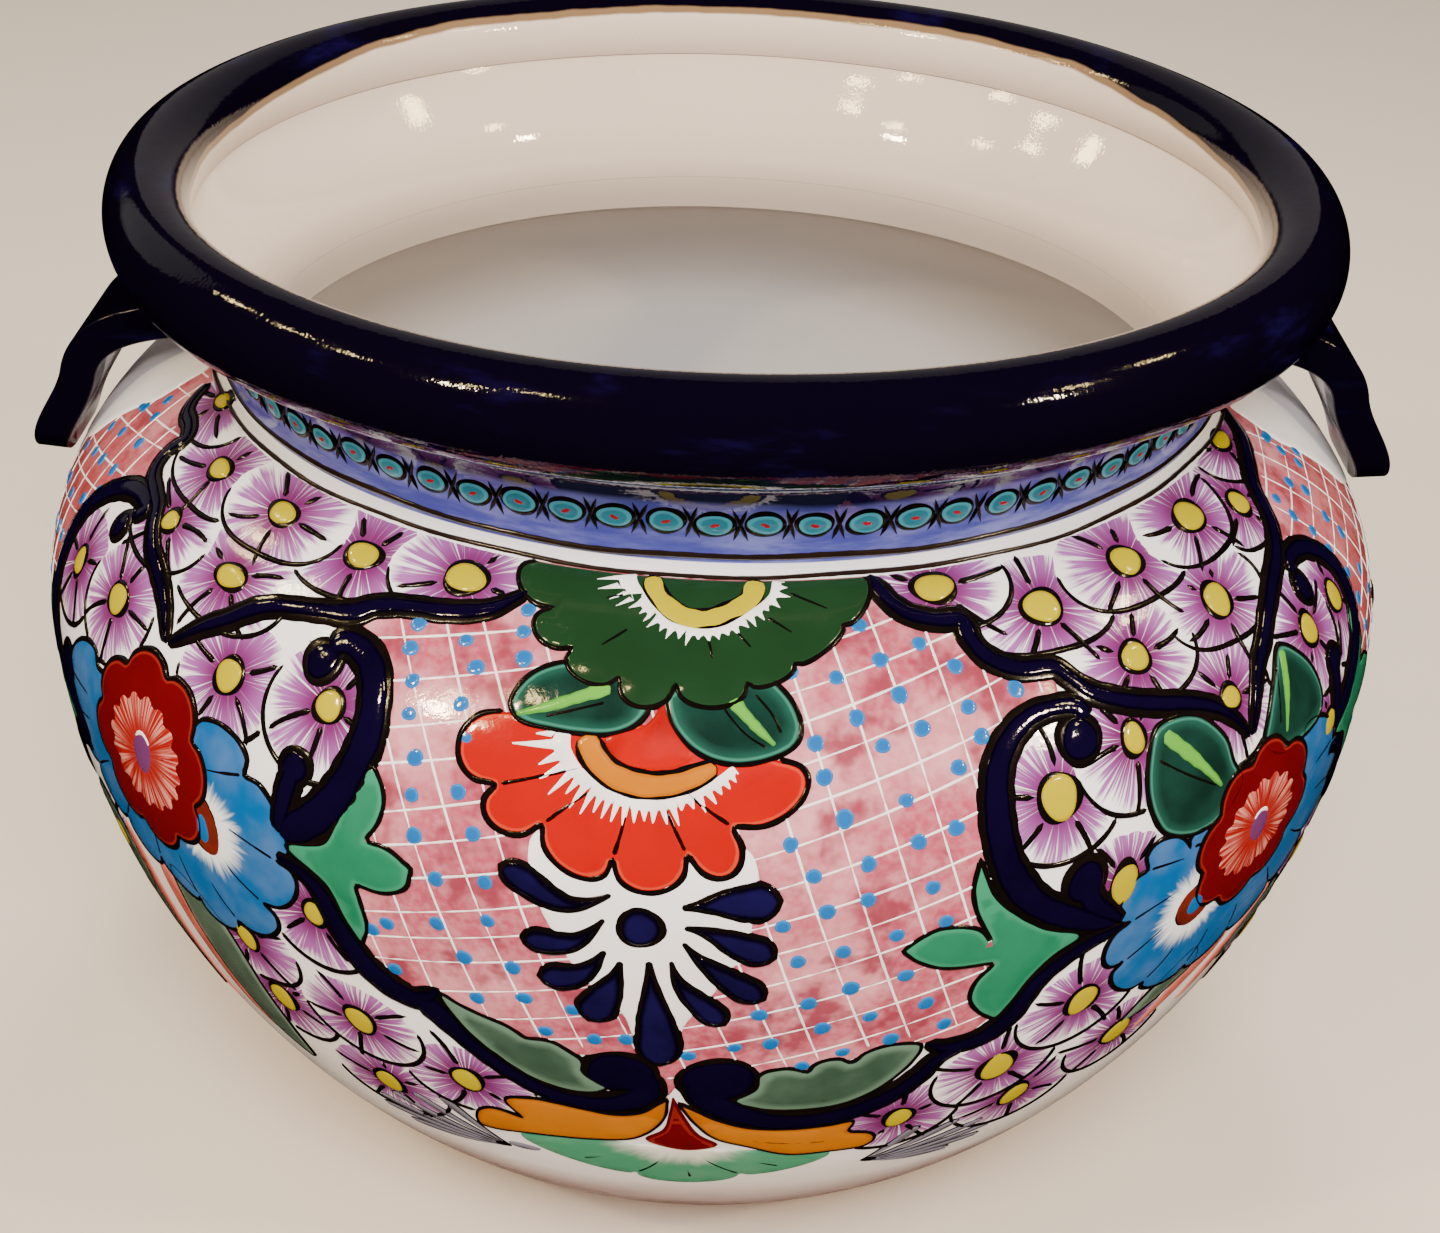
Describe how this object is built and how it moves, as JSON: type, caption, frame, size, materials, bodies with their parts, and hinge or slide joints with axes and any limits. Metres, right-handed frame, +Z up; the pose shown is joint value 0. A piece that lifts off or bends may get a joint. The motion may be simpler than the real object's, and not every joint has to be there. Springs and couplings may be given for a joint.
{
  "type": "painted earthenware vase",
  "caption": "Wide round-bellied glazed pot with a rolled rim, a low collar, strap handles and a foot ring; hand-painted floral panels.",
  "frame": {"origin": "centre of the foot ring's resting face", "axes": "+Z up along the vase's axis, the two handles lie on the X axis, and -Y faces the painted panel of the picture"},
  "size_m": [0.4526, 0.45, 0.34],
  "materials": {
    "bare_clay": "unglazed matt earthenware",
    "painted_white_glaze": "glossy white glaze with raised painted glaze ornament",
    "blue_glaze": "glossy streaky blue glaze",
    "navy_glaze": "very dark glossy cobalt glaze"
  },
  "bodies": {
    "root": {"foot_ring": "bare_clay", "lower_bowl": "painted_white_glaze", "shoulder": "painted_white_glaze", "neck_collar": "blue_glaze", "rim_roll": "navy_glaze", "handle_left": "navy_glaze", "handle_right": "navy_glaze"}
  },
  "joints": []
}
